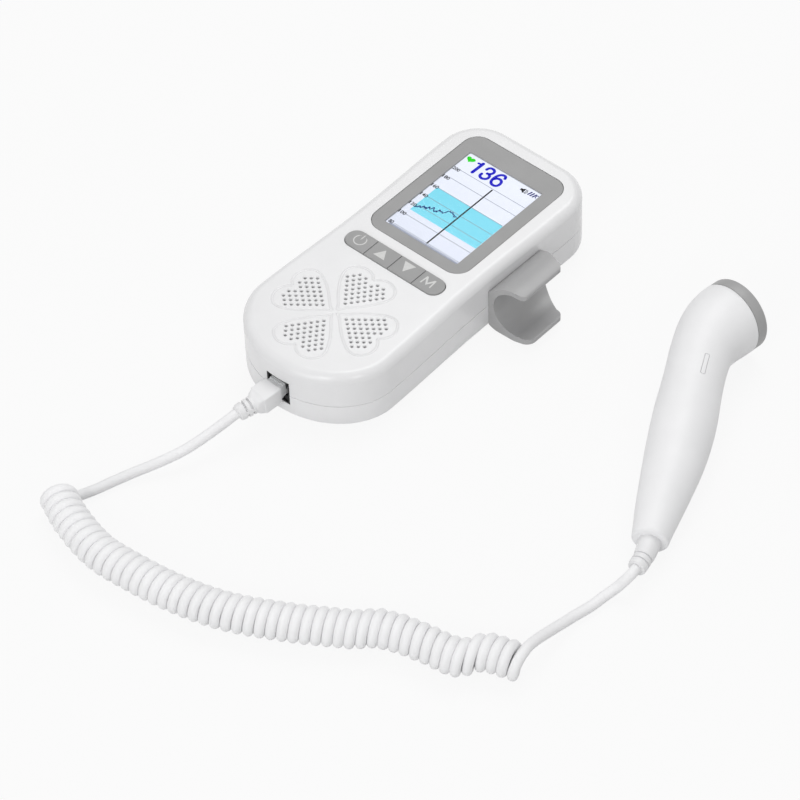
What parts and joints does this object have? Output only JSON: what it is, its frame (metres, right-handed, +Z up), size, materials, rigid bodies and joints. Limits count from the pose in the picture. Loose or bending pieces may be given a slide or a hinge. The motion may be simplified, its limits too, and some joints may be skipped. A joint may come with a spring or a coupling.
{
  "type": "fetal doppler monitor",
  "caption": "Handheld fetal heartbeat monitor with a colour display, keys, a clover speaker grille, a side clip and a bent-head probe on a curly cord.",
  "frame": {"origin": "middle of the unit's flat back, on the table", "axes": "+X to the right of the display, +Y towards the display's top end, +Z up out of the front face; the cord leaves the rounded end along -Y"},
  "size_m": [0.192, 0.2526, 0.0299],
  "materials": {
    "white_shell": "glossy moulded",
    "grey_trim": "satin moulded",
    "display_window": "clear window",
    "display_screen": "lit colour display",
    "circuit_board": "solder mask",
    "black_plastic": "moulded",
    "clear_plastic": "clear moulded plastic",
    "steel": "plated",
    "gold_contact": "gold plated",
    "paper_cone": "paper",
    "cell_jacket": "plain film jacket",
    "crystal": "ceramic",
    "backing_foam": "dense foam",
    "cord_jacket": "soft glossy jacket"
  },
  "bodies": {
    "monitor": {"top_shell": "white_shell", "bottom_shell": "white_shell", "display_bezel": "grey_trim", "display_lens": "display_window", "display_module": "display_screen", "switch_power": "black_plastic", "switch_up": "black_plastic", "switch_down": "black_plastic", "switch_mode": "black_plastic", "main_board": "circuit_board", "speaker_basket": "steel", "speaker_cone": "paper_cone", "speaker_magnet": "black_plastic", "jack_housing": "black_plastic", "jack_contacts": "gold_contact", "battery_cell_left": "cell_jacket", "battery_cell_right": "cell_jacket", "battery_bridge": "steel", "battery_contact_left": "steel", "battery_contact_right": "steel", "shell_screw_1": "steel", "shell_screw_2": "steel", "shell_screw_3": "steel", "shell_screw_4": "steel", "clip_screw_1": "steel", "clip_screw_2": "steel", "probe_clip": "grey_trim"},
    "key_power": {"key_power": "grey_trim"},
    "key_up": {"key_up": "grey_trim"},
    "key_down": {"key_down": "grey_trim"},
    "key_mode": {"key_mode": "grey_trim"},
    "battery_cover": {"battery_cover": "white_shell"},
    "cord_and_probe": {"plug_body": "clear_plastic", "plug_boot": "cord_jacket", "lead_unit_end": "cord_jacket", "curly_cord": "cord_jacket", "lead_probe_end": "cord_jacket", "probe_relief": "cord_jacket", "probe_shell_upper": "white_shell", "probe_shell_lower": "white_shell", "transducer_cap": "grey_trim", "crystal_transmit": "crystal", "crystal_receive": "crystal", "crystal_backing": "backing_foam", "probe_board": "circuit_board"},
    "plug_latch": {"plug_latch": "clear_plastic"}
  },
  "joints": [
    {"name": "key_power_press", "type": "slide", "parent": "monitor", "child": "key_power", "axis": [0, 0, -1], "range_m": [0, 0.0008], "stiffness_N_per_m": 1200},
    {"name": "key_up_press", "type": "slide", "parent": "monitor", "child": "key_up", "axis": [0, 0, -1], "range_m": [0, 0.0008], "stiffness_N_per_m": 1200},
    {"name": "key_down_press", "type": "slide", "parent": "monitor", "child": "key_down", "axis": [0, 0, -1], "range_m": [0, 0.0008], "stiffness_N_per_m": 1200},
    {"name": "key_mode_press", "type": "slide", "parent": "monitor", "child": "key_mode", "axis": [0, 0, -1], "range_m": [0, 0.0008], "stiffness_N_per_m": 1200},
    {"name": "battery_cover_slide", "type": "slide", "parent": "monitor", "child": "battery_cover", "axis": [0, -1, 0], "range_m": [0, 0.012]},
    {"name": "plug_pull", "type": "slide", "parent": "monitor", "child": "cord_and_probe", "axis": [0, -1, 0], "range_m": [0, 0.012]},
    {"name": "plug_latch_press", "type": "hinge", "parent": "cord_and_probe", "child": "plug_latch", "pos_m": [0.0006, -0.06386, 0.0102], "axis": [-1, 0, 0], "range_deg": [0, 5], "stiffness_Nm_per_rad": 0.3}
  ]
}
